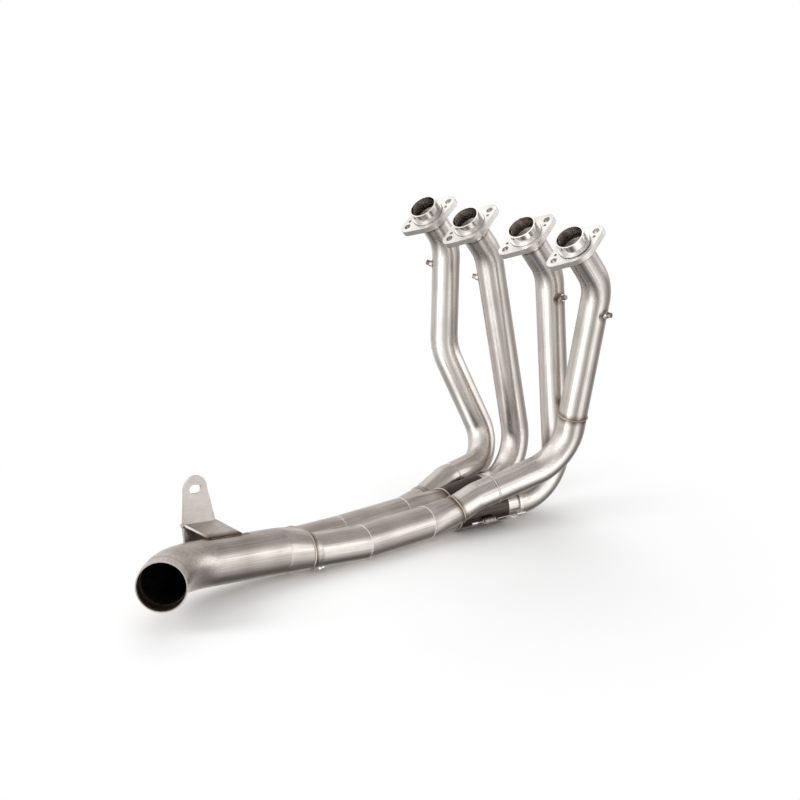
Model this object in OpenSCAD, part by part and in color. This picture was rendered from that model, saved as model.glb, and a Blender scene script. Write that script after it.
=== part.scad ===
// Four into two into one exhaust header for an across the frame four cylinder motorcycle.
// Millimetres. X runs from the first cylinder to the fourth, Y points forward on the motorcycle, Z is up.
// The origin is on the ground, straight under the middle of the whole part.

/* [Cylinder head] */
// distance between the two ports on each side
outer_pitch = 86; // [78:1:96]
// distance between the two middle ports
centre_gap = 104; // [94:1:120]
// height of the port line above the ground
port_height = 389.25; // [372:0.25:408]
// how far the port axis leans up from level
port_tilt = 51.3; // [45:0.1:58]

/* [Head pipes] */
// outside diameter of each head pipe
pipe_od = 38.1; // [35:0.1:38.5]
// wall thickness of the head pipes
pipe_wall = 1.5; // [1:0.1:2]
// centre line radius of the bends just under the ports
top_bend_radius = 62; // [50:1:70]
// centre line radius of the elbow at the foot of the first pipe
first_elbow_radius = 45; // [40:1:50]
// centre line radius of the elbow at the foot of the fourth pipe
fourth_elbow_radius = 66; // [58:1:70]
// centre line radius of the lower bend of the second pipe
second_elbow_radius = 62; // [54:1:62]
// centre line radius of the lower bend of the third pipe
third_elbow_radius = 65; // [54:1:65]
// centre line radius of the short drop into each collector
drop_radius = 60; // [50:1:80]

/* [Port rings] */
// outside diameter of the turned ring at its mouth
ring_od = 39.2; // [38.8:0.1:40.5]
// how far the ring stands out of the flange middle
ring_reach = 15.6; // [12:0.2:20]
// diameter of the shoulder that the flange pulls on
shoulder_od = 43.8; // [43:0.1:44]
// thickness of the shoulder
shoulder_thickness = 3; // [2:0.2:3.4]

/* [Flanges] */
// flange thickness
flange_thickness = 8; // [7:0.2:10]
// diameter of the open step that clears the shoulder
flange_step_bore = 44.6; // [44.4:0.1:46]
// diameter of the lower bore that hooks under the shoulder
flange_bore = 39.8; // [39.6:0.1:41]
// distance between the two stud holes
stud_spacing = 65; // [63:0.5:70]
// stud hole diameter
stud_hole = 9; // [8:0.1:9.5]
// diameter of the flange body around the bore
flange_body = 56; // [54:0.5:58]
// diameter of the rounded ear at each stud
flange_ear = 20; // [18:0.5:22]
// angle of the stud line from the line of ports, on the first flange
stud_turn = 58; // [50:1:72]
// how much further the stud lines of the other flanges are turned
other_turn = 6; // [0:1:8]
// diameter of the small pin hole beside each stud
pin_hole = 4; // [3:0.1:5]
// distance between the two small pin holes
pin_spacing = 51; // [50:0.5:53]

/* [Collectors] */
// outside diameter of the two secondary pipes
secondary_od = 44.5; // [42:0.1:45]
// distance of each secondary pipe from the middle plane
secondary_offset = 23; // [22.8:0.1:26]
// height of the secondary pipe axis above the ground
secondary_height = 23.3; // [23.3:0.1:28]
// outside diameter of the slip sockets
socket_od = 41.6; // [41.2:0.1:43]
// length of each slip socket
socket_length = 76; // [70:1:80]
// distance from the hook ring on an inner pipe to the mouth of its socket
hook_ring_gap = 18; // [14:1:20]
// height of the inner runs above the ground
inner_run_height = 22.75; // [22:0.25:26]

/* [Tail] */
// outside diameter of the tail pipe
tail_od = 58.5; // [55:0.5:60]
// outside diameter of the outlet end
outlet_od = 60.8; // [58:0.1:62]
// wall thickness of the tail and the secondaries
tail_wall = 1.5; // [1.2:0.1:2]
// centre line radius of the tail bend
tail_bend_radius = 118; // [100:1:125]
// length of the straight outlet end
outlet_length = 26; // [20:1:30]
// rise of the tail towards the rear, in degrees
tail_rise = 5.9; // [4:0.1:7]

/* [Hanger bracket] */
// thickness of the bracket sheet
sheet = 3; // [2:0.1:4]
// length of the bracket along the tail
bracket_length = 49; // [44:1:52]
// height of the slot above the fold
slot_height = 45; // [42:1:48]
// length of the slot
slot_length = 17.5; // [15:0.5:18]
// width of the slot
slot_width = 11; // [9:0.5:12]

/* [Springs] */
// free length between the two hooks of a spring
spring_length = 64; // [61:1:66]
// length of the coiled part of a spring
coil_length = 18; // [14:1:22]
// outside diameter of a spring
spring_od = 9; // [7:0.5:9.5]
// wire diameter of the springs and the hooks
wire = 2; // [1.6:0.1:2.2]

/* [Hidden] */
$fn = 72;
inner_x = centre_gap / 2;
outer_x = inner_x + outer_pitch;
pipe_id = pipe_od - 2 * pipe_wall;
secondary_id = secondary_od - 2 * tail_wall;
tail_id = tail_od - 2 * tail_wall;
outlet_id = outlet_od - 2 * tail_wall;
socket_id = pipe_od + 0.4;
// each straight runs this far into its bend, and the bend is this much fuller
lap = 2;
bend_swell = 0.1;
// direction from a port into its pipe
down_pipe = [0, cos(port_tilt), -sin(port_tilt)];
up_port = -down_pipe;
// how far the port line is ahead of the middle of the whole part
ahead = [0, 255.95, 0];
// the four ring centres at the underside of the shoulder; the second pipe hangs a little in its slip joint
port_1 = ahead + [-outer_x, 0, port_height];
port_2 = ahead + [-inner_x, -2, port_height - 2.2];
port_3 = ahead + [inner_x, 0, port_height];
port_4 = ahead + [outer_x, 0, port_height];
// corners of the four centre lines
top_1 = port_1 + 55 * down_pipe;
knee_1 = ahead + [-outer_x, 30.4, port_height - 192];
foot_1 = ahead + [-92, 84, 38.5];
drop_1 = ahead + [-66, -30, 36];
mouth_1 = ahead + [-55, -83, 20.5];
top_2 = port_2 + 54 * down_pipe;
foot_2 = ahead + [-46, 96, inner_run_height];
mouth_2 = ahead + [-22, -78, inner_run_height];
top_3 = port_3 + 69 * down_pipe;
foot_3 = ahead + [46, 74.5, inner_run_height];
mouth_3 = ahead + [22, -96, inner_run_height];
top_4 = port_4 + 73 * down_pipe;
foot_4 = ahead + [85, 46, 86.25];
drop_4 = ahead + [48, -81, 50.5];
mouth_4 = ahead + [43.5, -111, 39];
// where the pipes leave the rings
stub_depth = 14;
// weld between the two parts of the fourth pipe
joint_4 = 0.745;
// slip joints on the inner runs
run_2 = unit(mouth_2 - foot_2);
run_3 = unit(mouth_3 - foot_3);
socket_start_2 = mouth_2 - socket_length * run_2;
socket_start_3 = mouth_3 - socket_length * run_3;
slip_end_2 = mouth_2 - 12 * run_2;
slip_end_3 = mouth_3 - 12 * run_3;
hook_ring_2 = socket_start_2 - hook_ring_gap * run_2;
hook_ring_3 = socket_start_3 - hook_ring_gap * run_3;
// collectors and secondaries
neck_y = ahead[1] - 148;
mark_y = ahead[1] - 255;
seam_y = ahead[1] - 328;
seam_offset = 16;
neck_r = [secondary_offset, neck_y, secondary_height];
mark_r = [secondary_offset, mark_y, secondary_height - 1];
seam_r = [seam_offset, seam_y, secondary_height + 4];
neck_l = [-secondary_offset, neck_y, secondary_height];
mark_l = [-secondary_offset, mark_y, secondary_height - 1];
seam_l = [-seam_offset, seam_y, secondary_height + 4];
// tail
seam_c = [0, seam_y, secondary_height + 4.5];
cone_length = 44;
rear = [0, -cos(tail_rise), sin(tail_rise)];
cone_end = seam_c + cone_length * rear;
tail_turn = seam_c + 205.6 * rear;
outlet_way = unit([0.74, -0.64, 0.13]);
outlet_start = tail_turn + 63.8 * outlet_way;
outlet_end = outlet_start + outlet_length * outlet_way;

// a vector of length one
function unit(v) = v / norm(v);

// the first lean that turns Z towards a direction
function lean(v) = acos(v[2] / norm(v));

// the turn about Z towards a direction
function heading(v) = atan2(v[1], v[0]);

// distance from a corner to where its bend starts
function bend_reach(a, b, c, r) = r * tan(acos(unit(b - a) * unit(c - b)) / 2);

// stands its children at a point, with their Z along a direction
module along(point, way) {
  translate(point)
    rotate([0, lean(way), heading(way)])
      children();
}

// solid rod from one point to another
module rod(a, b, r) {
  along(a, b - a)
    cylinder(h = norm(b - a), r = r);
}

// solid bend round the corner b, on the way from a to c
module bend(a, b, c, bend_r, r) {
  u = unit(b - a);
  w = unit(c - b);
  turn = acos(u * w);
  reach = bend_r * tan(turn / 2);
  start = b - reach * u;
  inward = unit(w - (w * u) * u);
  middle = start + bend_r * inward;
  n = unit(cross(u, inward));
  ex = [cos(heading(n)) * cos(lean(n)), sin(heading(n)) * cos(lean(n)), -sin(lean(n))];
  ey = [-sin(heading(n)), cos(heading(n)), 0];
  spin = atan2(-(inward * ey), -(inward * ex));
  translate(middle)
    rotate([0, lean(n), heading(n)])
      rotate([0, 0, spin])
        rotate_extrude(angle = turn)
          translate([bend_r, 0])
            circle(r = r);
}

// solid rod along a list of points with a bend at each inner point
module path_rod(points, bends, r) {
  last = len(points) - 1;
  for (i = [0 : last - 1]) {
    a = points[i];
    b = points[i + 1];
    from = i == 0 ? 0 : bend_reach(points[i - 1], a, b, bends[i - 1]) - lap;
    to = i == last - 1 ? 0 : bend_reach(a, b, points[i + 2], bends[i]) - lap;
    rod(a + from * unit(b - a), b - to * unit(b - a), r);
  }
  for (i = [1 : last - 1])
    bend(points[i - 1], points[i], points[i + 1], bends[i - 1], r + bend_swell);
}

// hollow pipe along a list of points
module path_pipe(points, bends, od, id) {
  last = len(points) - 1;
  first_way = unit(points[1] - points[0]);
  last_way = unit(points[last] - points[last - 1]);
  longer = [for (i = [0 : last]) i == 0 ? points[0] - 2 * first_way
            : i == last ? points[last] + 2 * last_way : points[i]];
  difference() {
    path_rod(points, bends, od / 2);
    path_rod(longer, bends, id / 2);
  }
}

// straight hollow pipe
module pipe(a, b, od, id) {
  along(a, b - a)
    difference() {
      cylinder(h = norm(b - a), r = od / 2);
      translate([0, 0, -2])
        cylinder(h = norm(b - a) + 4, r = id / 2);
    }
}

// turned ring on the end of a head pipe
module port_ring(port) {
  along(port, up_port)
    difference() {
      union() {
        translate([0, 0, -stub_depth])
          cylinder(h = stub_depth + ring_reach, r = ring_od / 2);
        cylinder(h = shoulder_thickness, r = shoulder_od / 2);
      }
      translate([0, 0, -stub_depth - 1])
        cylinder(h = 6, r = pipe_od / 2);
      translate([0, 0, -stub_depth])
        cylinder(h = stub_depth + ring_reach + 2, r = pipe_id / 2);
    }
}

// loose two stud flange, its open step towards the cylinder head, slid a little down its ring
module head_flange(port, turn, slide) {
  reach = stud_spacing / 2;
  lower = flange_thickness / 2 + 0.3;
  along(port - slide * up_port, up_port)
    rotate([0, 0, turn])
      difference() {
        translate([0, 0, -lower])
          union() {
            cylinder(h = flange_thickness, r = flange_body / 2);
            for (side = [-1, 1]) {
              translate([0, side * reach, 0])
                cylinder(h = flange_thickness, r = flange_ear / 2);
              flange_shoulder(side);
            }
          }
        translate([0, 0, -lower - 1])
          cylinder(h = flange_thickness + 2, r = flange_bore / 2);
        translate([0, 0, -0.3])
          cylinder(h = flange_thickness, r = flange_step_bore / 2);
        for (side = [-1, 1]) {
          translate([0, side * reach, -lower - 1])
            cylinder(h = flange_thickness + 2, r = stud_hole / 2);
          translate([side * 7.5, side * (pin_spacing / 2 + 0.5), -lower - 1])
            cylinder(h = flange_thickness + 2, r = pin_hole / 2);
        }
      }
}

// straight sided web between the flange body and one ear, on lines that touch both circles
module flange_shoulder(side) {
  reach = stud_spacing / 2;
  big = flange_body / 2;
  small = flange_ear / 2;
  slope = asin((big - small) / reach);
  linear_extrude(height = flange_thickness)
    polygon([
      [-big * cos(slope), side * big * sin(slope)],
      [big * cos(slope), side * big * sin(slope)],
      [small * cos(slope), side * (reach + small * sin(slope))],
      [-small * cos(slope), side * (reach + small * sin(slope))]
    ]);
}

module port_ring_1() { color("#c9c6c2") port_ring(port_1); }
module port_ring_2() { color("#c9c6c2") port_ring(port_2); }
module port_ring_3() { color("#c9c6c2") port_ring(port_3); }
module port_ring_4() { color("#c9c6c2") port_ring(port_4); }
module head_flange_1() { color("#bdbab5") head_flange(port_1, stud_turn, 3.2); }
module head_flange_2() { color("#bdbab5") head_flange(port_2, stud_turn + other_turn, 1.6); }
module head_flange_3() { color("#bdbab5") head_flange(port_3, stud_turn + other_turn, 2.2); }
module head_flange_4() { color("#bdbab5") head_flange(port_4, stud_turn + other_turn, 4.6); }

// the depth of the pipe end in its ring
function pipe_start(port) = port + (stub_depth - 4.9) * down_pipe;

// the weld on a straight stretch, as a share of the way from a to b
function part_way(a, b, share) = a + share * (b - a);

weld_1 = part_way(foot_1, drop_1, 0.92);
weld_4 = part_way(foot_4, drop_4, 0.8);
weld_4_high = part_way(top_4, foot_4, joint_4);

module head_pipe_1() {
  color("#b7b2ac")
    path_pipe([pipe_start(port_1), top_1, knee_1, foot_1, weld_1],
              [top_bend_radius, 90, first_elbow_radius], pipe_od, pipe_id);
}

// the room an inner run takes, cut out of the drop pipe that lands on it
module inner_run_room(start, way) {
  rod(start - 26 * way, start + (socket_length + 40) * way, socket_od / 2 + 0.15);
}

module drop_pipe_1() {
  color("#b7b2ac")
    difference() {
      path_pipe([weld_1, drop_1, mouth_1], [drop_radius], pipe_od, pipe_id);
      inner_run_room(socket_start_2, run_2);
    }
}

module head_pipe_2() {
  color("#b7b2ac")
    path_pipe([pipe_start(port_2), top_2, foot_2, slip_end_2],
              [top_bend_radius, second_elbow_radius], pipe_od, pipe_id);
}

module head_pipe_3() {
  color("#b7b2ac")
    path_pipe([pipe_start(port_3), top_3, foot_3, slip_end_3],
              [top_bend_radius, third_elbow_radius], pipe_od, pipe_id);
}

module head_pipe_4() {
  color("#b7b2ac")
    path_pipe([pipe_start(port_4), top_4, weld_4_high],
              [top_bend_radius], pipe_od, pipe_id);
}

module elbow_4() {
  color("#b7b2ac")
    path_pipe([weld_4_high, foot_4, weld_4], [fourth_elbow_radius], pipe_od, pipe_id);
}

module drop_pipe_4() {
  color("#b7b2ac")
    difference() {
      path_pipe([weld_4, drop_4, mouth_4], [drop_radius], pipe_od, pipe_id);
      inner_run_room(socket_start_3, run_3);
    }
}

// wider socket on the collector that an inner pipe slides into
module slip_socket_2() { color("#a8a39d") pipe(socket_start_2, mouth_2, socket_od, socket_id); }
module slip_socket_3() { color("#a8a39d") pipe(socket_start_3, mouth_3, socket_od, socket_id); }

// ring round an inner pipe that carries its spring hooks
module slip_collar(ring, way) {
  along(ring - 5 * way, way)
    difference() {
      cylinder(h = 5, r = socket_od / 2 + 0.9);
      translate([0, 0, -1])
        cylinder(h = 8, r = pipe_od / 2);
    }
}

module slip_collar_2() { color("#d0cdc8") slip_collar(hook_ring_2, run_2); }
module slip_collar_3() { color("#d0cdc8") slip_collar(hook_ring_3, run_3); }

// short thin disc, used as one end of a loft
module disc(point, way, r) {
  along(point, way)
    cylinder(h = 0.6, r = r, $fn = 32);
}

// one skin of a collector, from its two mouths to its neck
module collector_skin(upper, upper_way, lower, lower_way, neck, grow, longer) {
  hull() {
    disc(upper - longer * upper_way, upper_way, pipe_od / 2 + grow);
    disc(neck + [0, 0.85 - longer, 0], [0, -1, 0], secondary_od / 2 - 0.1 + grow);
  }
  hull() {
    disc(lower - longer * lower_way, lower_way, pipe_od / 2 + 0.9 + grow);
    disc(neck + [0, 0.85 - longer, 0], [0, -1, 0], secondary_od / 2 - 0.1 + grow);
  }
}

module collector(upper, upper_way, lower, lower_way, neck) {
  difference() {
    collector_skin(upper, upper_way, lower, lower_way, neck, 0, 0);
    collector_skin(upper, upper_way, lower, lower_way, neck, -tail_wall, 1.2);
  }
}

module left_collector() {
  color("#aaa59f")
    collector(mouth_1, unit(mouth_1 - drop_1), mouth_2, run_2, neck_l);
}

module right_collector() {
  color("#aaa59f")
    collector(mouth_4, unit(mouth_4 - drop_4), mouth_3, run_3, neck_r);
}

module left_secondary() {
  color("#b2ada7")
    pipe(neck_l, mark_l, secondary_od, secondary_id);
}

module right_secondary() {
  color("#b2ada7")
    pipe(neck_r, mark_r, secondary_od, secondary_id);
}

// last stretch of a secondary, cut flat at both ends and where it meets its twin
module merge_pipe(mark, seam, side) {
  way = unit(seam - mark);
  intersection() {
    pipe(mark - 8 * way, seam + 8 * way, secondary_od, secondary_id);
    translate([side > 0 ? 0.02 : -100.02, seam_y + 0.02, -60])
      cube([100, mark_y - seam_y - 0.26, 200]);
  }
}

module left_merge_pipe() { color("#b2ada7") merge_pipe(mark_l, seam_l, -1); }
module right_merge_pipe() { color("#b2ada7") merge_pipe(mark_r, seam_r, 1); }

// one skin of the cone where both secondaries become the tail
module tail_cone_skin(grow, longer) {
  hull() {
    disc(seam_l + [0, longer, 0], [0, -1, 0], secondary_od / 2 + 0.2 + grow);
    disc(seam_r + [0, longer, 0], [0, -1, 0], secondary_od / 2 + 0.2 + grow);
    disc(cone_end + longer * rear, -rear, tail_od / 2 + grow);
  }
}

module tail_cone() {
  color("#a39e98")
    difference() {
      tail_cone_skin(0, 0);
      tail_cone_skin(-tail_wall, 1);
    }
}

module tail_pipe() {
  color("#a39e98")
    path_pipe([cone_end, tail_turn, outlet_start], [tail_bend_radius], tail_od, tail_id);
}

module outlet_end_pipe() {
  color("#a39e98")
    pipe(outlet_start, outlet_end, outlet_od, outlet_id);
}

// place and size of the folded hanger on top of the tail
ridge_out = 36;
ridge_up = 10;
ridge_back = 16;
bracket_way = -rear;
tail_top = [0, 0, tail_od / 2 - 0.4];
weld_start = seam_c + 146 * rear + tail_top;
ridge_start = weld_start + [-ridge_out, 0, ridge_up] + ridge_back * rear;
brace_drop = 40;

// turns a flat sheet so its first axis runs along the tail and its second axis along a given way
module sheet_on(point, second) {
  n = unit(cross(bracket_way, second));
  ex = [cos(heading(n)) * cos(lean(n)), sin(heading(n)) * cos(lean(n)), -sin(lean(n))];
  ey = [-sin(heading(n)), cos(heading(n)), 0];
  translate(point)
    rotate([0, lean(n), heading(n)])
      rotate([0, 0, atan2(bracket_way * ey, bracket_way * ex)])
        children();
}

// the room the tail takes, cut out of what is welded on it
module tail_room() {
  rod(cone_end, tail_turn, tail_od / 2 + 0.02);
}

module hanger_tab() {
  half = bracket_length / 2;
  eye = slot_height;
  round = 17;
  back = 9.5;
  slope_way = [-ridge_out, 0, ridge_up];
  color("#b9b5b0")
    difference() {
      union() {
        sheet_on(weld_start, slope_way)
          linear_extrude(height = sheet)
            polygon([[0, 0], [bracket_length - 2, 0],
                     [bracket_length - ridge_back, norm(slope_way)], [-ridge_back, norm(slope_way)]]);
        rod(ridge_start, ridge_start + bracket_length * bracket_way, sheet);
        sheet_on(ridge_start, [0, 0, 1])
          linear_extrude(height = sheet)
            difference() {
              union() {
                polygon([[0, 0], [bracket_length, 0], [half - back + round * 0.98, eye + 3],
                         [half - back - round * 0.98, eye + 3]]);
                translate([half - back, eye])
                  circle(r = round);
              }
              translate([half - back - (slot_length - slot_width) / 2, eye - slot_width / 2])
                square([slot_length - slot_width, slot_width]);
              for (end = [-1, 1])
                translate([half - back + end * (slot_length - slot_width) / 2, eye])
                  circle(r = slot_width / 2);
            }
      }
      tail_room();
    }
}

module hanger_brace() {
  color("#9d9892")
    difference() {
      sheet_on(ridge_start + [0, 0, -3.2], [11, 0, -brace_drop])
        translate([0, 0, -sheet])
          linear_extrude(height = sheet)
            polygon([[0, 0], [bracket_length, 0], [bracket_length, brace_drop], [0, brace_drop]]);
      tail_room();
    }
}

// a boss that stands on the wall of a straight pipe from a to b
module wall_boss(point, way, a, b, wall_r, od, length) {
  difference() {
    along(point + (wall_r - 2) * way, way)
      cylinder(h = length + 2, r = od / 2);
    rod(a, b, wall_r + 0.01);
  }
}

boss_1 = part_way(top_1, knee_1, 0.235);
boss_2 = part_way(top_2, foot_2, 0.122);
boss_3 = part_way(top_3, foot_3, 0.125);
boss_4 = part_way(top_4, foot_4, 0.168);
boss_out = unit([0.96, 0.05, 0.28]);
boss_out_4 = unit([0.94, 0.22, 0.1]);
boss_back = unit([-0.8, -0.55, 0.2]);

module sampling_bosses() {
  color("#d2cfcb") {
    wall_boss(boss_1, boss_back, top_1, knee_1, pipe_od / 2, 9, 4);
    wall_boss(boss_2, boss_back, top_2, foot_2, pipe_od / 2, 9, 4);
    wall_boss(boss_3, boss_out, top_3, foot_3, pipe_od / 2, 9, 4);
    wall_boss(boss_4, boss_out_4, top_4, foot_4, pipe_od / 2, 9, 4);
  }
}

module sampling_plugs() {
  color("#6f6a66") {
    along(boss_1 + (pipe_od / 2 + 4.05) * boss_back, boss_back)
      cylinder(h = 5, r = 3.5, $fn = 6);
    along(boss_2 + (pipe_od / 2 + 4.05) * boss_back, boss_back)
      cylinder(h = 5, r = 3.5, $fn = 6);
    along(boss_3 + (pipe_od / 2 + 4.05) * boss_out, boss_out)
      cylinder(h = 5, r = 3.5, $fn = 6);
    along(boss_4 + (pipe_od / 2 + 4.05) * boss_out_4, boss_out_4)
      cylinder(h = 5, r = 3.5, $fn = 6);
  }
}

// directions across an inner run, for the two springs of a slip joint
function side_way(run, x, z) = unit([x, 0, z] - ([x, 0, z] * run) * run);

// a hook that stands on a wall, its bent end along the run from one place to another
module hook(foot, way, run, wall_r, back, ahead) {
  along(foot + (wall_r - 0.02) * way, way)
    cylinder(h = hook_r - wall_r, r = wire * 0.7);
  along(foot + hook_r * way - back * run, run)
    cylinder(h = back + ahead, r = wire);
}

// the two hooks of one spring, one on the hook ring and one on the socket
module hook_pair(ring, run, way) {
  hook(ring - 2.5 * run, way, run, socket_od / 2 + 0.9, 2.5, 11.5);
  hook(ring + (spring_length + 15) * run, way, run, socket_od / 2, 6, 3);
}

hook_r = socket_od / 2 + 5.4;
out_3 = side_way(run_3, 0.95, -0.31);
in_3 = side_way(run_3, -0.82, -0.57);
out_2 = side_way(run_2, -0.72, -0.69);
in_2 = side_way(run_2, 0.82, -0.57);

module spring_hooks() {
  color("#d8d5d0") {
    hook_pair(hook_ring_3, run_3, out_3);
    hook_pair(hook_ring_3, run_3, in_3);
    hook_pair(hook_ring_2, run_2, out_2);
    hook_pair(hook_ring_2, run_2, in_2);
  }
}

// one spring: a coiled part with a straight wire at each end
module joint_spring(ring, run, way) {
  along(ring + hook_r * way + 9.02 * run, run) {
    cylinder(h = spring_length - 0.04, r = wire / 2);
    translate([0, 0, spring_length - coil_length - 11])
      cylinder(h = coil_length, r = spring_od / 2);
  }
}

module joint_springs() {
  color("#8d8883") {
    joint_spring(hook_ring_3, run_3, out_3);
    joint_spring(hook_ring_3, run_3, in_3);
    joint_spring(hook_ring_2, run_2, out_2);
    joint_spring(hook_ring_2, run_2, in_2);
  }
}

sensor_at = part_way(mark_r, seam_r, 0.97);
sensor_way = unit([0.35, 0.2, -1]);

module sensor_boss() {
  color("#c4c0bb")
    wall_boss(sensor_at, sensor_way, mark_r, seam_r, secondary_od / 2, 10, 2);
}

module sensor_plug() {
  color("#6f6a66")
    along(sensor_at + (secondary_od / 2 + 2.02) * sensor_way, sensor_way)
      cylinder(h = 1.2, r = 3.4, $fn = 6);
}

port_ring_1();
port_ring_2();
port_ring_3();
port_ring_4();
head_flange_1();
head_flange_2();
head_flange_3();
head_flange_4();
head_pipe_1();
drop_pipe_1();
head_pipe_2();
head_pipe_3();
head_pipe_4();
elbow_4();
drop_pipe_4();
slip_socket_2();
slip_socket_3();
slip_collar_2();
slip_collar_3();
left_collector();
right_collector();
left_secondary();
right_secondary();
left_merge_pipe();
right_merge_pipe();
tail_cone();
tail_pipe();
outlet_end_pipe();
hanger_tab();
hanger_brace();
sampling_bosses();
sampling_plugs();
spring_hooks();
joint_springs();
sensor_boss();
sensor_plug();
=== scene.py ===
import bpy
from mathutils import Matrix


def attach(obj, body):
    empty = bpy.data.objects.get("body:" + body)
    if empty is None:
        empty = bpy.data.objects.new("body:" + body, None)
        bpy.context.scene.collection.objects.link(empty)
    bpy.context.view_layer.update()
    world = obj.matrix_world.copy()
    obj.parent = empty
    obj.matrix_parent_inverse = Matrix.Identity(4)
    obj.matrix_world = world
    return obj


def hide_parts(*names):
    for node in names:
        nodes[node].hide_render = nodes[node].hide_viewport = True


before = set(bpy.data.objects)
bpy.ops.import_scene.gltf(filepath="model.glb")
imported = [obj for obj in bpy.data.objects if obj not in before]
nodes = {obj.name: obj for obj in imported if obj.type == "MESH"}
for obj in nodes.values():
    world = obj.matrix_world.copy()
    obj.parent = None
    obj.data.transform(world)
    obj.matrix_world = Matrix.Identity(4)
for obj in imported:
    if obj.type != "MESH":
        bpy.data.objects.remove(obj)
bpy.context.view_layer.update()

import math

import bpy
from mathutils import Vector
from mathutils.bvhtree import BVHTree

mm = 0.001

# The camera of the photograph, fitted to the ports, the flange holes and the pipe widths.
camera_heading = math.radians(48.93)
camera_pitch = math.radians(73.96)
camera_place = Vector((1.856, -1.53205, 0.897))
lens_mm, sensor_mm = 90, 36

# Places and sizes of the part, in millimetres, the same as in its source. ahead moves the ports' line
# forward, so that the frame's origin is under the middle of the whole part.
pipe_r = 19.05
bore_r = 17.55
secondary_r = 22.25
socket_r = 20.8
tail_r = 29.25
tilt = math.radians(51.3)
down_pipe = Vector((0, math.cos(tilt), -math.sin(tilt)))
port_height = 389.25
ahead = Vector((0, 255.95, 0))
port = {1: ahead + Vector((-138, 0, port_height)), 2: ahead + Vector((-52, -2, port_height - 2.2)),
        3: ahead + Vector((52, 0, port_height)), 4: ahead + Vector((138, 0, port_height))}
top = {1: port[1] + 55 * down_pipe, 2: port[2] + 54 * down_pipe,
       3: port[3] + 69 * down_pipe, 4: port[4] + 73 * down_pipe}
knee_1 = ahead + Vector((-138, 30.4, port_height - 192))
foot = {1: ahead + Vector((-92, 84, 38.5)), 2: ahead + Vector((-46, 96, 22.75)),
        3: ahead + Vector((46, 74.5, 22.75)), 4: ahead + Vector((85, 46, 86.25))}
drop_1 = ahead + Vector((-66, -30, 36))
drop_4 = ahead + Vector((48, -81, 50.5))
mouth = {1: ahead + Vector((-55, -83, 20.5)), 2: ahead + Vector((-22, -78, 22.75)),
         3: ahead + Vector((22, -96, 22.75)), 4: ahead + Vector((43.5, -111, 39))}
run = {2: (mouth[2] - foot[2]).normalized(), 3: (mouth[3] - foot[3]).normalized()}
socket_start = {k: mouth[k] - 76 * run[k] for k in (2, 3)}
hook_ring = {k: socket_start[k] - 18 * run[k] for k in (2, 3)}
neck_y, mark_y, seam_y = ahead.y - 148, ahead.y - 255, ahead.y - 328
rise = math.radians(5.9)
rear = Vector((0, -math.cos(rise), math.sin(rise)))
seam_c = Vector((0, seam_y, 27.8))
cone_end = seam_c + 44 * rear
tail_turn = seam_c + 205.6 * rear
outlet_way = Vector((0.74, -0.64, 0.13)).normalized()
outlet_start = tail_turn + 63.8 * outlet_way
outlet_end = outlet_start + 26 * outlet_way
weld_4_high = top[4].lerp(foot[4], 0.745)
weld_1 = foot[1].lerp(drop_1, 0.92)
weld_4 = foot[4].lerp(drop_4, 0.8)


# Colours, and one function that adds a node.

def linear(hex_colour):
    """an sRGB hex value as linear red, green, blue and alpha"""
    parts = [int(hex_colour[i:i + 2], 16) / 255 for i in (1, 3, 5)]
    return tuple(c / 12.92 if c <= 0.04045 else ((c + 0.055) / 1.055) ** 2.4 for c in parts) + (1.0,)


def add(tree, kind, inputs=None, **settings):
    """a node with its settings, its constant inputs and its links"""
    made = tree.nodes.new(kind)
    for name, value in settings.items():
        setattr(made, name, value)
    for name, value in (inputs or {}).items():
        socket = made.inputs[name]
        if isinstance(value, bpy.types.NodeSocket):
            tree.links.new(value, socket)
        else:
            socket.default_value = value
    return made


def ramp(tree, value, stops, smooth=True):
    """a colour ramp on a value, from (place, hex colour) pairs"""
    made = add(tree, "ShaderNodeValToRGB", {"Fac": value})
    made.color_ramp.interpolation = "EASE" if smooth else "LINEAR"
    points = made.color_ramp.elements
    while len(points) < len(stops):
        points.new(0.5)
    for point, (place, colour) in zip(points, stops):
        point.position = place
        point.color = linear(colour)
    return made.outputs["Color"]


def new_material(name):
    made = bpy.data.materials.new(name)
    made.use_nodes = True
    made.node_tree.nodes.clear()
    tree = made.node_tree
    shader = add(tree, "ShaderNodeBsdfPrincipled")
    add(tree, "ShaderNodeOutputMaterial", {"Surface": shader.outputs[0]})
    place = add(tree, "ShaderNodeTexCoord")
    return made, tree, shader, place


# Heat tint beside a weld: how near a point is to the plane of the weld, inside a small ball round it.
tint_group = bpy.data.node_groups.new("heat_tint", "ShaderNodeTree")
for socket_name, socket_kind in (("Place", "NodeSocketVector"), ("Weld point", "NodeSocketVector"),
                                 ("Weld axis", "NodeSocketVector"), ("Spread", "NodeSocketFloat"),
                                 ("Reach", "NodeSocketFloat")):
    tint_group.interface.new_socket(name=socket_name, in_out="INPUT", socket_type=socket_kind)
tint_group.interface.new_socket(name="Tint", in_out="OUTPUT", socket_type="NodeSocketFloat")
tint_in = add(tint_group, "NodeGroupInput").outputs
tint_off = add(tint_group, "ShaderNodeVectorMath", {0: tint_in["Place"], 1: tint_in["Weld point"]},
               operation="SUBTRACT").outputs["Vector"]
tint_along = add(tint_group, "ShaderNodeVectorMath", {0: tint_off, 1: tint_in["Weld axis"]},
                 operation="DOT_PRODUCT").outputs["Value"]
tint_wave = add(tint_group, "ShaderNodeTexNoise", {"Vector": tint_in["Place"], "Scale": 90.0, "Detail": 2.0})
tint_wobble = add(tint_group, "ShaderNodeMath", {0: tint_wave.outputs["Fac"], 1: 0.6, 2: 0.7},
                  operation="MULTIPLY_ADD").outputs[0]
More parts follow.
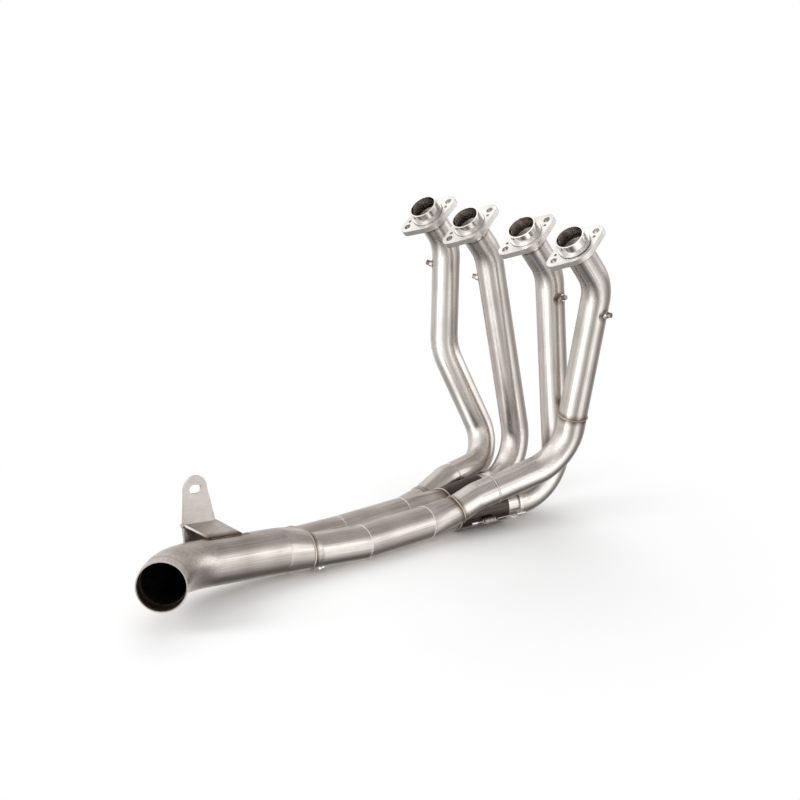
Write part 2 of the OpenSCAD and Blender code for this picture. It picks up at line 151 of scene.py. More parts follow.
tint_away = add(tint_group, "ShaderNodeMath", {0: tint_along}, operation="ABSOLUTE").outputs[0]
tint_share = add(tint_group, "ShaderNodeMath", {0: tint_away, 1: tint_in["Spread"]},
                 operation="DIVIDE").outputs[0]
tint_near = add(tint_group, "ShaderNodeMath", {0: tint_share, 1: tint_wobble}, operation="DIVIDE",
                use_clamp=True).outputs[0]
tint_far = add(tint_group, "ShaderNodeVectorMath", {0: tint_off}, operation="LENGTH").outputs["Value"]
tint_ball = add(tint_group, "ShaderNodeMath", {0: tint_far, 1: tint_in["Reach"]},
                operation="LESS_THAN").outputs[0]
tint_one = add(tint_group, "ShaderNodeMath", {0: 1.0, 1: tint_near}, operation="SUBTRACT").outputs[0]
tint_out = add(tint_group, "ShaderNodeMath", {0: tint_one, 1: tint_ball}, operation="MULTIPLY")
add(tint_group, "NodeGroupOutput", {"Tint": tint_out.outputs[0]})


def tint_of(tree, place, welds):
    """the strongest heat tint of a list of welds, each (point in mm, axis, spread in mm, reach in mm)"""
    total = None
    for point, axis, spread, reach in welds:
        one = add(tree, "ShaderNodeGroup", node_tree=tint_group)
        tree.links.new(place, one.inputs["Place"])
        one.inputs["Weld point"].default_value = point * mm
        one.inputs["Weld axis"].default_value = axis.normalized()
        one.inputs["Spread"].default_value = spread * mm
        one.inputs["Reach"].default_value = reach * mm
        total = one.outputs["Tint"] if total is None else add(
            tree, "ShaderNodeMath", {0: total, 1: one.outputs["Tint"]}, operation="MAXIMUM").outputs[0]
    return total


def steel(name, light, dark, rough, streak, grain, welds=(), tint="#53443a", tint_strength=0.95,
          brushed_along=None, edge_mm=0.0, bump=0.25, flow=None):
    """Bare stainless steel. The streaks run along a pipe, because they follow the way its wall faces.
    light and dark are the two ends of its colour, streak is how strongly the polishing lines show, and
    grain is the size of its grit in mm.
    flow is the line that a drawn funnel follows: its shading leaves out most of the slope along it."""
    made, tree, shader, place = new_material(name)
    where = place.outputs["Object"]
    faces = place.outputs["Normal"]
    if brushed_along is None:
        # polishing lines 0.6 mm wide round a 38 mm pipe: 34 noise cells per unit of its facing,
        # which change over 110 mm along it
        stretched = add(tree, "ShaderNodeVectorMath", {0: faces, 1: (34.0, 34.0, 34.0)}, operation="MULTIPLY")
        drift = add(tree, "ShaderNodeVectorMath", {0: where, 1: (9.0, 9.0, 9.0)}, operation="MULTIPLY")
        lines_at = add(tree, "ShaderNodeVectorMath", {0: stretched.outputs[0], 1: drift.outputs[0]},
                       operation="ADD").outputs[0]
    else:
        # flat sheet: lines 0.6 mm apart and 17 mm long
        lines_at = add(tree, "ShaderNodeVectorMath", {0: where, 1: brushed_along}, operation="MULTIPLY").outputs[0]
    lines = add(tree, "ShaderNodeTexNoise", {"Vector": lines_at, "Scale": 1.0, "Detail": 5.0, "Roughness": 0.62})
    cloud = add(tree, "ShaderNodeTexNoise", {"Vector": where, "Scale": 24.0, "Detail": 3.0})
    # real grit is finer: it is drawn as coarse as it needs to show
    grit = add(tree, "ShaderNodeTexNoise", {"Vector": where, "Scale": 1000.0 / grain, "Detail": 2.0})
    mixed = add(tree, "ShaderNodeMath", {0: lines.outputs["Fac"], 1: streak}, operation="MULTIPLY").outputs[0]
    clouded = add(tree, "ShaderNodeMath", {0: cloud.outputs["Fac"], 1: 1.0 - streak, 2: mixed},
                  operation="MULTIPLY_ADD").outputs[0]
    colour = ramp(tree, clouded, [(0.3, dark), (0.68, light)])
    # heat tint beside the welds, and painted shade where a tint list holds a shade entry
    if welds:
        heat = tint_of(tree, where, welds)
        strength = add(tree, "ShaderNodeMath", {0: heat, 1: tint_strength}, operation="MULTIPLY").outputs[0]
        shade = ramp(tree, heat, [(0.0, light), (0.25, "#a5917c"), (0.55, "#75614f"), (1.0, tint)])
        colour = add(tree, "ShaderNodeMix", {"Factor": strength, 6: colour, 7: shade}, data_type="RGBA",
                     blend_type="MIX").outputs[2]
    tree.links.new(colour, shader.inputs["Base Color"])
    spread = add(tree, "ShaderNodeMapRange", {"Value": clouded, "From Min": 0.3, "From Max": 0.7,
                                              "To Min": rough + 0.08, "To Max": rough - 0.04})
    tree.links.new(spread.outputs[0], shader.inputs["Roughness"])
    shader.inputs["Metallic"].default_value = 1.0
    both = add(tree, "ShaderNodeMath", {0: grit.outputs["Fac"], 1: 0.35, 2: lines.outputs["Fac"]},
               operation="MULTIPLY_ADD").outputs[0]
    relief = add(tree, "ShaderNodeBump", {"Strength": bump, "Distance": 0.00012, "Height": both})
    if edge_mm:
        # a broken edge, as a sheet or a machined plate has
        facing = add(tree, "ShaderNodeBevel", {"Radius": edge_mm * mm}, samples=4).outputs[0]
        if flow:
            slope = add(tree, "ShaderNodeVectorMath", {0: facing, 1: flow.normalized()},
                        operation="DOT_PRODUCT").outputs["Value"]
            part = add(tree, "ShaderNodeMath", {0: slope, 1: -0.85}, operation="MULTIPLY").outputs[0]
            lean = add(tree, "ShaderNodeVectorMath", {0: flow.normalized(), "Scale": part},
                       operation="SCALE").outputs[0]
            level = add(tree, "ShaderNodeVectorMath", {0: facing, 1: lean}, operation="ADD").outputs[0]
            facing = add(tree, "ShaderNodeVectorMath", {0: level}, operation="NORMALIZE").outputs[0]
        tree.links.new(facing, relief.inputs["Normal"])
    tree.links.new(relief.outputs[0], shader.inputs["Normal"])
    return made


def side_way(along, x, z):
    across = Vector((x, 0, z))
    return (across - along * across.dot(along)).normalized()


boss_at = {1: top[1].lerp(knee_1, 0.235), 2: top[2].lerp(foot[2], 0.122),
           3: top[3].lerp(foot[3], 0.125), 4: top[4].lerp(foot[4], 0.168)}
boss_out = Vector((0.96, 0.05, 0.28)).normalized()
boss_back = Vector((-0.8, -0.55, 0.2)).normalized()
boss_way = {1: boss_back, 2: boss_back, 3: boss_out, 4: Vector((0.94, 0.22, 0.1)).normalized()}
rail_up = Vector((0, 0, 1))
weld_start = seam_c + 146 * rear + 28.85 * rail_up
pipe_welds = [(weld_4_high, foot[4] - top[4], 10, 30), (weld_4, drop_4 - foot[4], 2.4, 26),
              (weld_1, drop_1 - foot[1], 2.4, 26), (mouth[4], mouth[4] - drop_4, 7, 26),
              (mouth[1], mouth[1] - drop_1, 7, 26)]
for k in (1, 2, 3, 4):
    pipe_welds.append((boss_at[k] + pipe_r * boss_way[k], rail_up, 12, 12))
    pipe_welds.append((port[k] + 14 * down_pipe, down_pipe, 5, 24))
seam_welds = [(seam_c + Vector((side * 22, -6, 0)), Vector((side * 0.28, 1, 0)), 4.5, 27) for side in (-1, 1)]
# Heat tint at the collector mouths. The last entry, wide round the second mouth, is painted shade on the left
# collector's lower lobe, drawn with the same tint.
neck_welds_and_painted_shade = [(mouth[4], mouth[4] - drop_4, 8, 26), (mouth[3], run[3], 8, 26), (mouth[1], mouth[1] - drop_1, 8, 26),
              (mouth[2], run[2], 26, 30)]
hanger_middle = weld_start - 24.5 * rear
hanger_side = rail_up.cross(rear).normalized()
hanger_welds = [(hanger_middle, hanger_side, 7, 34), (outlet_start, outlet_way, 4, 40)]

# Drawn stainless tube, polished along its length with a belt: long soft streaks and a neutral grey.
pipe_steel = steel("polished_stainless_tube", "#dedad6", "#a8a29d", 0.25, 0.75, 0.5, pipe_welds)
# Stainless sheet rolled and satin finished, duller than the tubes. A wide bevel rounds the pressed funnels.
collector_steel = steel("satin_stainless_collector", "#d8d3cf", "#a39c97", 0.3, 0.7, 0.5, neck_welds_and_painted_shade + seam_welds)
funnel_steel = steel("satin_stainless_funnel", "#d8d3cf", "#a39c97", 0.32, 0.7, 0.5, neck_welds_and_painted_shade, edge_mm=6.0,
                     flow=Vector((0, 1, 0)))
cone_steel = steel("satin_stainless_cone", "#d4cfca", "#9f9892", 0.31, 0.7, 0.5, seam_welds, edge_mm=6.0, flow=rear)
# Thicker satin tube of the tail, the dullest and darkest part.
tail_steel = steel("satin_stainless_tail", "#d0cac5", "#9a938d", 0.31, 0.65, 0.45, seam_welds + hanger_welds)
# Slip socket, expanded from tube. Its dark colour is painted shade, for the shadow that falls on it between the pipes.
socket_steel = steel("socket_steel_painted_shade", "#544c48", "#302b28", 0.36, 0.6, 0.5)
# Turned and polished ring: fine lathe lines and the brightest metal of the part.
ring_steel = steel("turned_stainless_ring", "#f2f0ed", "#c9c5c1", 0.15, 0.5, 0.4, edge_mm=0.5, bump=0.12)
# Laser cut plate, bead blasted: matt and pale.
flange_steel = steel("bead_blasted_flange_plate", "#e6e4e1", "#c8c4c0", 0.4, 0.15, 0.35, edge_mm=0.8, bump=0.35)
# Folded sheet, brushed along the tail.
hanger_steel = steel("brushed_hanger_sheet", "#d8d4d0", "#b8b2ad", 0.36, 0.4, 0.5,
                     [(hanger_middle, hanger_side, 9, 40)], brushed_along=(60.0, 60.0, 1800.0), edge_mm=0.6)
boss_steel = steel("machined_boss_steel", "#e4e1dd", "#bdb8b3", 0.22, 0.4, 0.4, edge_mm=0.3)
plug_steel = steel("dull_screw_steel", "#9a928c", "#6a625d", 0.32, 0.3, 0.4, edge_mm=0.3)
spring_steel = steel("drawn_spring_wire", "#c4bfba", "#8b8580", 0.25, 0.5, 0.4)
# Weld metal: bright, rippled, with brown oxide in its lows.
bead_steel = steel("stainless_weld_bead", "#cfc8bf", "#7d6a59", 0.28, 0.5, 0.8, bump=0.5)
# Weld ground flush: a matt bright line on the polished tube.
ground_steel = steel("ground_weld_line", "#f7f5f2", "#dedad6", 0.55, 0.3, 0.5)
# Painted shade in the bores: an almost black liner inside the pipes, with grey streaks, for the shade that falls inside
# them.
bore_shade, bore_shade_tree, bore_shade_shader, bore_shade_place = new_material("carbon_film_in_bore")
bore_shade_at = add(bore_shade_tree, "ShaderNodeVectorMath", {0: bore_shade_place.outputs["Normal"], 1: (9.0, 9.0, 9.0)},
              operation="MULTIPLY")
bore_shade_noise = add(bore_shade_tree, "ShaderNodeTexNoise", {"Vector": bore_shade_at.outputs[0], "Scale": 1.0, "Detail": 6.0,
                                                   "Roughness": 0.7})
bore_shade_tree.links.new(ramp(bore_shade_tree, bore_shade_noise.outputs["Fac"], [(0.35, "#14110f"), (0.62, "#4d4642"),
                                                                (0.8, "#8d857f")]),
                    bore_shade_shader.inputs["Base Color"])
bore_shade_shader.inputs["Metallic"].default_value = 0.7
bore_shade_shader.inputs["Roughness"].default_value = 0.45
# Inside the head pipes a dark brown-grey liner on drawn steel paints the shade in the bore.
bore_steel = steel("painted_shade_on_drawn_bore", "#8f8882", "#2e2926", 0.22, 0.8, 0.5)

finish_of = {
    "port_ring_": ring_steel, "head_flange_": flange_steel, "head_pipe_": pipe_steel, "drop_pipe_": pipe_steel,
    "elbow_4": pipe_steel, "slip_socket_": socket_steel, "slip_collar_": boss_steel,
    "left_": collector_steel, "right_": collector_steel, "left_collector": funnel_steel,
    "right_collector": funnel_steel, "tail_pipe": tail_steel, "tail_cone": cone_steel, "outlet_": tail_steel,
    "hanger_": hanger_steel, "sampling_bosses": boss_steel, "sampling_plugs": plug_steel,
    "spring_hooks": boss_steel, "joint_springs": spring_steel, "sensor_boss": boss_steel,
    "sensor_plug": plug_steel}
for name, part in nodes.items():
    for start, finish in finish_of.items():
        if name.startswith(start):
            for slot in part.material_slots:
                slot.material = finish


def mesh_object(name, points, faces=(), edges=()):
    data = bpy.data.meshes.new(name)
    data.from_pydata([tuple(p) for p in points], list(edges), list(faces))
    data.update()
    made = bpy.data.objects.new(name, data)
    bpy.context.scene.collection.objects.link(made)
    return made


def smooth(made):
    made.data.polygons.foreach_set("use_smooth", [True] * len(made.data.polygons))
    made.data.update()


def bake(made, modifier_tree, values):
    """runs a Geometry Nodes tree on an object and keeps the result as its plain mesh"""
    modifier = made.modifiers.new("shape", "NODES")
    modifier.node_group = modifier_tree
    by_name = {item.name: item.identifier for item in modifier_tree.interface.items_tree
               if item.item_type == "SOCKET" and item.in_out == "INPUT"}
    for name, value in values.items():
        modifier[by_name[name]] = value
    evaluated = made.evaluated_get(bpy.context.evaluated_depsgraph_get())
    data = bpy.data.meshes.new_from_object(evaluated)
    made.modifiers.clear()
    old = made.data
    made.data = data
    data.name = made.name
    bpy.data.meshes.remove(old)
    smooth(made)
    return made


# Weld beads: a small round bead along each seam, with the ripples that a torch leaves.
bead_tree = bpy.data.node_groups.new("weld_bead_along_seam", "GeometryNodeTree")
bead_tree.interface.new_socket(name="Geometry", in_out="INPUT", socket_type="NodeSocketGeometry")
for socket_name, socket_kind in (("Bead radius", "NodeSocketFloat"), ("Ripple length", "NodeSocketFloat"),
                                 ("Ripple depth", "NodeSocketFloat"), ("Finish", "NodeSocketMaterial")):
    bead_tree.interface.new_socket(name=socket_name, in_out="INPUT", socket_type=socket_kind)
bead_tree.interface.new_socket(name="Geometry", in_out="OUTPUT", socket_type="NodeSocketGeometry")
bead_in = add(bead_tree, "NodeGroupInput").outputs
seam_curve = add(bead_tree, "GeometryNodeMeshToCurve", {"Mesh": bead_in["Geometry"]})
even_curve = add(bead_tree, "GeometryNodeResampleCurve", mode="LENGTH")
even_curve.inputs["Length"].default_value = 0.0005
bead_tree.links.new(seam_curve.outputs[0], even_curve.inputs["Curve"])
far_along = add(bead_tree, "GeometryNodeSplineParameter")
turns = add(bead_tree, "ShaderNodeMath", {0: far_along.outputs["Length"], 1: bead_in["Ripple length"]},
            operation="DIVIDE")
angle = add(bead_tree, "ShaderNodeMath", {0: turns.outputs[0], 1: 2 * math.pi}, operation="MULTIPLY")
wave = add(bead_tree, "ShaderNodeMath", {0: angle.outputs[0]}, operation="SINE")
uneven = add(bead_tree, "ShaderNodeTexNoise", {"Scale": 260.0, "Detail": 2.0})
wander = add(bead_tree, "ShaderNodeMath", {0: uneven.outputs["Fac"], 1: 0.5}, operation="SUBTRACT")
lift = add(bead_tree, "ShaderNodeMath", {0: wave.outputs[0], 1: 0.5, 2: wander.outputs[0]},
           operation="MULTIPLY_ADD")
swing = add(bead_tree, "ShaderNodeMath", {0: lift.outputs[0], 1: bead_in["Ripple depth"], 2: 1.0},
            operation="MULTIPLY_ADD")
thick = add(bead_tree, "ShaderNodeMath", {0: swing.outputs[0], 1: bead_in["Bead radius"]}, operation="MULTIPLY")
profile = add(bead_tree, "GeometryNodeCurvePrimitiveCircle", {"Resolution": 8, "Radius": 1.0})
bead_mesh = add(bead_tree, "GeometryNodeCurveToMesh", {"Curve": even_curve.outputs[0],
                                                       "Profile Curve": profile.outputs[0],
                                                       "Scale": thick.outputs[0]})
bead_mesh.inputs["Fill Caps"].default_value = True
bead_real = add(bead_tree, "GeometryNodeRealizeInstances", {"Geometry": bead_mesh.outputs[0]})
bead_set = add(bead_tree, "GeometryNodeSetMaterial", {"Geometry": bead_real.outputs[0],
                                                      "Material": bead_in["Finish"]})
add(bead_tree, "NodeGroupOutput", {"Geometry": bead_set.outputs[0]})


def circle_round(middle, axis, radius, count=120):
    axis = axis.normalized()
    across = axis.orthogonal().normalized()
    other = axis.cross(across)
    return [middle + radius * (math.cos(a) * across + math.sin(a) * other)
            for a in (2 * math.pi * i / count for i in range(count))]


def merge_outline():
    """the seam where the merging secondaries meet the tail: a slanting cut found on the skin of the cone"""
    skin = BVHTree.FromObject(nodes["tail_cone"], bpy.context.evaluated_depsgraph_get())
    points = []
    for i in range(120):
        a = 2 * math.pi * i / 120
        out = Vector((math.cos(a), 0, math.sin(a)))
        middle = Vector((0, seam_y - 0.6 - 10.5 * abs(out.x), 27.6))
        hit = skin.ray_cast((middle + 70 * out) * mm, -out)[0]
        if hit:
            points.append(hit / mm)
    return points


def seams(name, loops, radius, ripple, depth, finish=None):
    points, edges = [], []
    for line, closed in loops:
        first = len(points)
        points += [p * mm for p in line]
        edges += [(first + i, first + i + 1) for i in range(len(line) - 1)]
        if closed:
            edges.append((len(points) - 1, first))
    made = bake(mesh_object(name, points, edges=edges), bead_tree,
                {"Bead radius": radius * mm, "Ripple length": ripple * mm, "Ripple depth": depth,
                 "Finish": finish or bead_steel})
    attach(made, "header")
    return made


# Proud beads where two parts meet: the joint of the fourth pipe, the collector mouths and the tail seam.
proud = [(circle_round(weld_4_high, foot[4] - top[4], pipe_r), True),
         (circle_round(mouth[3], run[3], socket_r - 0.2), True), (circle_round(mouth[2], run[2], socket_r - 0.2), True),
         (circle_round(mouth[4], mouth[4] - drop_4, pipe_r + 0.1), True),
         (circle_round(mouth[1], mouth[1] - drop_1, pipe_r + 0.1), True),
         (merge_outline(), True)]
seams("weld_beads", proud, 1.1, 1.6, 0.35)
# Dressed welds on the tubes: ground nearly flush, so only a thin bright line is left.
flush = [(circle_round(weld_1, drop_1 - foot[1], pipe_r - 0.05), True),
         (circle_round(weld_4, drop_4 - foot[4], pipe_r - 0.05), True),
         (circle_round(outlet_start, outlet_way, tail_r + 0.2), True)]
for side in (-1, 1):
    for y, z in ((mark_y, 22.3), (neck_y, 23.3)):
        flush.append((circle_round(Vector((side * 23, y, z)), Vector((0, 1, 0)), secondary_r - 0.05), True))
for k in (1, 2, 3, 4):
    flush.append((circle_round(boss_at[k] + (pipe_r - 0.1) * boss_way[k], boss_way[k], 4.6, 40), True))
    flush.append((circle_round(port[k] + 14 * down_pipe, down_pipe, pipe_r), True))
seams("dressed_welds", flush, 0.5, 1.4, 0.2, ground_steel)
hanger_line = [weld_start - (2 + i) * rear + 0.5 * rail_up - 1.0 * hanger_side for i in range(45)]
seams("hanger_weld", [(hanger_line, False)], 1.3, 1.8, 0.4)


# The painted shade inside the bores: thin dark tubes along the pipes' middle lines.
def centre_line(points, bends, step=4.0):
    """points along a pipe's middle, with the bend at each inner corner"""
    line = [points[0]]
    for a, b, c, r in zip(points, points[1:], points[2:], bends):
        u, w = (b - a).normalized(), (c - b).normalized()
        turn = math.acos(u.dot(w))
        reach = r * math.tan(turn / 2)
        start = b - reach * u
        inward = (w - w.dot(u) * u).normalized()
        middle = start + r * inward
        count = max(3, int(r * turn / step))
        line += [middle + r * (math.sin(turn * i / count) * u - math.cos(turn * i / count) * inward)
                 for i in range(count + 1)]
    return line + [points[-1]]


def tube(name, line, outer, inner, count=48, finish=None):
    """a closed thin tube along a centre line"""
    frames, u = [], None
    for i, p in enumerate(line):
        t = (line[min(i + 1, len(line) - 1)] - line[max(i - 1, 0)]).normalized()
        u = t.orthogonal() if u is None else u - u.dot(t) * t
        u = u.normalized()
        frames.append((p, u, t.cross(u)))
    points, faces = [], []
    for r in (outer, inner):
        for p, a, b in frames:
            points += [(p + r * (math.cos(2 * math.pi * j / count) * a + math.sin(2 * math.pi * j / count) * b)) * mm
                       for j in range(count)]
    rows = len(line)
    for i in range(rows - 1):
        for j in range(count):
            k = (j + 1) % count
            a, b, c, d = i * count + j, i * count + k, (i + 1) * count + k, (i + 1) * count + j
            faces.append((a, b, c, d))
            shift = rows * count
            faces.append((d + shift, c + shift, b + shift, a + shift))
    for i in (0, rows - 1):
        for j in range(count):
            k = (j + 1) % count
            a, b = i * count + j, i * count + k
            quad = (b, a, a + rows * count, b + rows * count)
            faces.append(quad if i == 0 else tuple(reversed(quad)))
    made = mesh_object(name, points, faces)
    smooth(made)
    made.data.materials.append(finish)
    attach(made, "header")
    return made


port_lines = {
    1: centre_line([port[1] + 3 * down_pipe, top[1], knee_1], [62]),
    2: centre_line([port[2] + 3 * down_pipe, top[2], top[2].lerp(foot[2], 0.3)], [62]),
    3: centre_line([port[3] + 3 * down_pipe, top[3], top[3].lerp(foot[3], 0.3)], [62]),
    4: centre_line([port[4] + 3 * down_pipe, top[4], top[4].lerp(foot[4], 0.4)], [62])}
for k, line in port_lines.items():
    liner = tube(f"carbon_film_{k}", line, bore_r - 0.05, bore_r - 0.2, finish=bore_steel)
outlet_line = centre_line([cone_end, tail_turn, outlet_start], [118], 6.0)
shade_liner = tube("carbon_film_tail", outlet_line, tail_r - 1.55, tail_r - 1.75, finish=bore_shade)
shade_liner = tube("carbon_film_outlet", [outlet_start, outlet_end - 0.8 * outlet_way], 28.85, 28.65, finish=bore_shade)

# Coil springs of the slip joints: one tree makes a coil at every spring's place, and the bead tree, without
# its ripples, makes the straight and hooked wires at its ends.
spring_tree = bpy.data.node_groups.new("coil_springs", "GeometryNodeTree")
spring_tree.interface.new_socket(name="Geometry", in_out="INPUT", socket_type="NodeSocketGeometry")
for socket_name, socket_kind in (("Coil radius", "NodeSocketFloat"), ("Wire radius", "NodeSocketFloat"),
                                 ("Coils", "NodeSocketFloat"), ("Coil length", "NodeSocketFloat"),
                                 ("Finish", "NodeSocketMaterial")):
    spring_tree.interface.new_socket(name=socket_name, in_out="INPUT", socket_type=socket_kind)
spring_tree.interface.new_socket(name="Geometry", in_out="OUTPUT", socket_type="NodeSocketGeometry")
spring_in = add(spring_tree, "NodeGroupInput").outputs
helix = add(spring_tree, "GeometryNodeCurveSpiral", {
    "Resolution": 18, "Rotations": spring_in["Coils"], "Start Radius": spring_in["Coil radius"],
    "End Radius": spring_in["Coil radius"], "Height": spring_in["Coil length"]})
wire_ring = add(spring_tree, "GeometryNodeCurvePrimitiveCircle", {"Resolution": 8,
                                                                  "Radius": spring_in["Wire radius"]})
wound = add(spring_tree, "GeometryNodeCurveToMesh", {"Curve": helix.outputs[0],
                                                     "Profile Curve": wire_ring.outputs[0]})
wound.inputs["Fill Caps"].default_value = True
stored_way = add(spring_tree, "GeometryNodeInputNamedAttribute", {"Name": "spring_way"},
                 data_type="FLOAT_VECTOR")
facing = add(spring_tree, "FunctionNodeAlignRotationToVector", {"Vector": stored_way.outputs[0]}, axis="Z")
placed = add(spring_tree, "GeometryNodeInstanceOnPoints", {
    "Points": spring_in["Geometry"], "Instance": wound.outputs[0], "Rotation": facing.outputs[0]})
spring_real = add(spring_tree, "GeometryNodeRealizeInstances", {"Geometry": placed.outputs[0]})
spring_set = add(spring_tree, "GeometryNodeSetMaterial", {"Geometry": spring_real.outputs[0],
                                                          "Material": spring_in["Finish"]})
add(spring_tree, "NodeGroupOutput", {"Geometry": spring_set.outputs[0]})

hook_r = socket_r + 5.4
coil_r, wire_r, coil_length = 3.4, 1.0, 18
spring_ways = [(3, side_way(run[3], 0.95, -0.31)), (3, side_way(run[3], -0.82, -0.57)),
               (2, side_way(run[2], -0.72, -0.69)), (2, side_way(run[2], 0.82, -0.57))]
coil_start = 44
hook_tip, hook_far = 9, 73
springs = mesh_object("coil_springs", [(hook_ring[k] + hook_r * way + coil_start * run[k]) * mm
                                       for k, way in spring_ways])
direction = springs.data.attributes.new("spring_way", "FLOAT_VECTOR", "POINT")
direction.data.foreach_set("vector", [c for k, way in spring_ways for c in run[k]])
bake(springs, spring_tree, {"Coil radius": coil_r * mm, "Wire radius": wire_r * mm, "Coils": 8.0,
                            "Coil length": coil_length * mm, "Finish": spring_steel})
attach(springs, "header")
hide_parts("joint_springs")
ends = []
for k, way in spring_ways:
    base = hook_ring[k] + hook_r * way
    edge = coil_r * way
    coil_end = coil_start + coil_length
    ends.append(([base + hook_tip * run[k], base + (coil_start - 4) * run[k],
                  base + coil_start * run[k] + edge], False))
    ends.append(([base + coil_end * run[k] + edge, base + (coil_end + 4) * run[k],
                  base + hook_far * run[k]], False))
wires = seams("spring_wires", ends, wire_r, 10.0, 0.0, spring_steel)

# The floor and the white studio. The floor keeps the part's shadow and fades to plain white away from it.
fade_starts, fade_ends = 0.24, 0.62
floor_white, floor_tree, floor_shader, floor_place = new_material("matt_white_paper_floor")
floor_at = floor_place.outputs["Object"]
floor_noise = add(floor_tree, "ShaderNodeTexNoise", {"Vector": floor_at, "Scale": 3.0})
floor_tree.links.new(ramp(floor_tree, floor_noise.outputs["Fac"], [(0.3, "#f5f5f5"), (0.7, "#f8f8f8")]),
                     floor_shader.inputs["Base Color"])
floor_shader.inputs["Roughness"].default_value = 0.9
floor_shader.inputs["Specular IOR Level"].default_value = 0.0
floor_far = add(floor_tree, "ShaderNodeVectorMath", {0: floor_at}, operation="LENGTH")
floor_fade = add(floor_tree, "ShaderNodeMapRange", {"Value": floor_far.outputs["Value"], "From Min": fade_starts,
                                                    "From Max": fade_ends}, interpolation_type="SMOOTHSTEP")
floor_glow = add(floor_tree, "ShaderNodeEmission", {"Color": (1, 1, 1, 1), "Strength": 1.0})
floor_both = add(floor_tree, "ShaderNodeMixShader", {0: floor_fade.outputs[0], 1: floor_shader.outputs[0],
                                                     2: floor_glow.outputs[0]})
floor_out = [n for n in floor_tree.nodes if n.bl_idname == "ShaderNodeOutputMaterial"][0]
floor_tree.links.new(floor_both.outputs[0], floor_out.inputs["Surface"])
floor = mesh_object("floor", [(-4, -4, 0), (4, -4, 0), (4, 4, 0), (-4, 4, 0)], [(0, 1, 2, 3)])
floor.data.materials.append(floor_white)
floor.visible_glossy = False

# The room: plain white for the camera, soft and even for the light, and for the metal a studio of pale
# and dark panels, whose level is 1 on average.
scene = bpy.context.scene
world = bpy.data.worlds.new("studio")
scene.world = world
world.use_nodes = True
sky = world.node_tree
sky.nodes.clear()
away = Vector((math.sin(camera_heading), -math.cos(camera_heading), 0))
aside = Vector((math.cos(camera_heading), math.sin(camera_heading), 0))
ray_way = add(sky, "ShaderNodeTexCoord").outputs["Generated"]
part_aside = add(sky, "ShaderNodeVectorMath", {0: ray_way, 1: aside}, operation="DOT_PRODUCT").outputs["Value"]
part_away = add(sky, "ShaderNodeVectorMath", {0: ray_way, 1: away}, operation="DOT_PRODUCT").outputs["Value"]
turn_round = add(sky, "ShaderNodeMath", {0: part_aside, 1: part_away}, operation="ARCTAN2").outputs[0]
share_round = add(sky, "ShaderNodeMath", {0: turn_round, 1: 1 / (2 * math.pi), 2: 0.5},
                  operation="MULTIPLY_ADD").outputs[0]
height = add(sky, "ShaderNodeSeparateXYZ", {0: ray_way}).outputs["Z"]
# Each ramp goes round the room from behind the part, over the left, past the camera at 0.5, over the right
# and back. The low ring is what the upright pipes mirror, the belt is a long soft box on the right.
low_ring = ramp(sky, share_round, [
    (0.0, "#a4a2a0"), (0.17, "#8e8c8a"), (0.27, "#908e8c"), (0.31, "#b4b2b1"), (0.345, "#f2f2f2"), (0.4, "#f4f4f4"),
    (0.436, "#c8c6c5"), (0.48, "#9a9896"), (0.53, "#7c7a78"), (0.57, "#969392"), (0.62, "#e0dfde"),
    (0.66, "#d6d5d4"), (0.72, "#8a8785"), (0.8, "#5c5957"), (0.9, "#787573"), (1.0, "#a4a2a0")])
belt = ramp(sky, share_round, [
    (0.0, "#8c8987"), (0.2, "#a09e9c"), (0.38, "#d8d7d6"), (0.5, "#949190"), (0.6, "#b8b6b5"), (0.68, "#cecdcc"),
    (0.8, "#cecdcc"), (0.88, "#8a8785"), (1.0, "#8c8987")])
high_ring = ramp(sky, share_round, [
    (0.0, "#8a8785"), (0.08, "#acaaa8"), (0.2, "#c0bfbe"), (0.36, "#b4b2b1"), (0.5, "#8c8987"), (0.66, "#706d6b"),
    (0.9, "#6d6a68"), (1.0, "#8a8785")])
to_belt = ramp(sky, add(sky, "ShaderNodeMath", {0: height, 1: 0.5, 2: 0.5}, operation="MULTIPLY_ADD").outputs[0],
               [(0.44, "#000000"), (0.54, "#ffffff")])
to_high = ramp(sky, height, [(0.36, "#000000"), (0.54, "#ffffff")])
under = ramp(sky, add(sky, "ShaderNodeMath", {0: height, 1: -1.0}, operation="MULTIPLY").outputs[0],
             [(0.35, "#ffffff"), (0.6, "#dcdcdc"), (0.75, "#bcbcbc"), (0.9, "#7c7c7c"), (1.0, "#606060")])
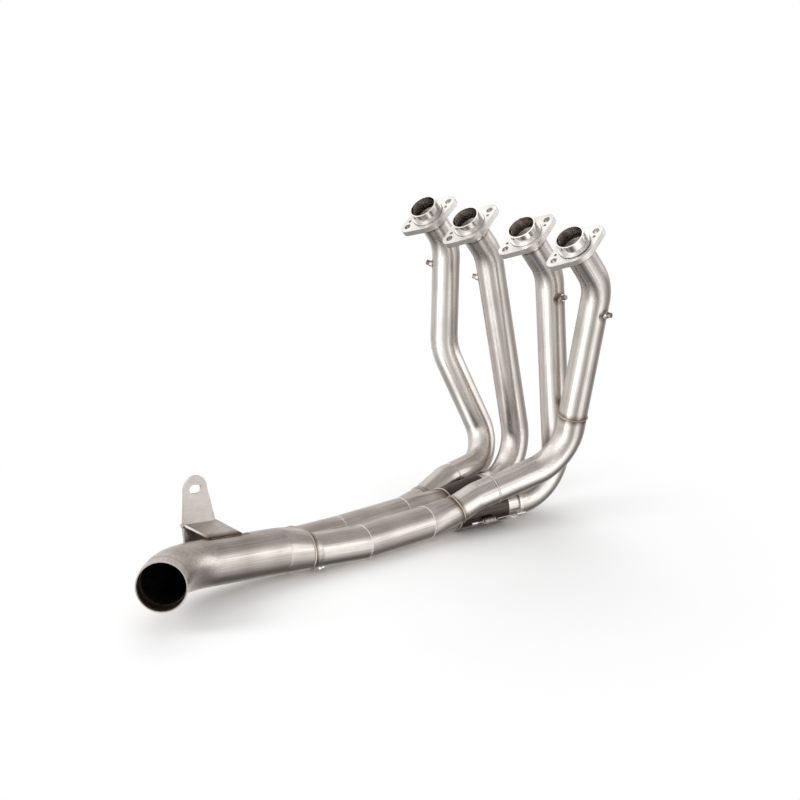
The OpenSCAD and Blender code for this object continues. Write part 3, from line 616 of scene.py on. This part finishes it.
lower = add(sky, "ShaderNodeMix", {"Factor": to_belt, 6: low_ring, 7: belt}, data_type="RGBA").outputs[2]
room = add(sky, "ShaderNodeMix", {"Factor": to_high, 6: lower, 7: high_ring}, data_type="RGBA").outputs[2]
room_dim = add(sky, "ShaderNodeMix", {"Factor": 1.0, 6: room, 7: under}, data_type="RGBA",
               blend_type="MULTIPLY").outputs[2]
seen_by = add(sky, "ShaderNodeLightPath").outputs
mirrored = add(sky, "ShaderNodeBackground", {"Color": room_dim, "Strength": 3.2})
fill = add(sky, "ShaderNodeBackground", {"Color": (1, 1, 1, 1), "Strength": 0.79})
plain_white = add(sky, "ShaderNodeBackground", {"Color": (1, 1, 1, 1), "Strength": 1.0})
for_light = add(sky, "ShaderNodeMixShader", {0: seen_by["Is Glossy Ray"], 1: fill.outputs[0],
                                             2: mirrored.outputs[0]})
for_all = add(sky, "ShaderNodeMixShader", {0: seen_by["Is Camera Ray"], 1: for_light.outputs[0],
                                           2: plain_white.outputs[0]})
add(sky, "ShaderNodeOutputWorld", {"Surface": for_all.outputs[0]})


def area_light(name, place, target, size, power):
    """a soft box that lights the floor, unseen in the metal"""
    data = bpy.data.lights.new(name, "AREA")
    data.shape = "RECTANGLE"
    data.size, data.size_y = size
    data.energy = power
    made = bpy.data.objects.new(name, data)
    scene.collection.objects.link(made)
    made.location = place
    made.rotation_euler = (Vector(target) - Vector(place)).to_track_quat("-Z", "Y").to_euler()
    made.visible_glossy = False
    return made


middle = Vector((0, 0.056, 0))
area_light("box_behind", middle + Vector((0, 0, 1.9)) - 1.9 * away, middle, (2.2, 2.0), 20)
area_light("tail_side_light", middle + Vector((-0.5, -1.96, 1.15)), middle, (1.0, 0.8), 18)

camera_data = bpy.data.cameras.new("camera")
camera_data.lens = lens_mm
camera_data.sensor_width = sensor_mm
camera = bpy.data.objects.new("camera", camera_data)
scene.collection.objects.link(camera)
camera.location = camera_place
camera.rotation_euler = (camera_pitch, 0, camera_heading)
scene.camera = camera
scene.view_settings.view_transform = "Standard"
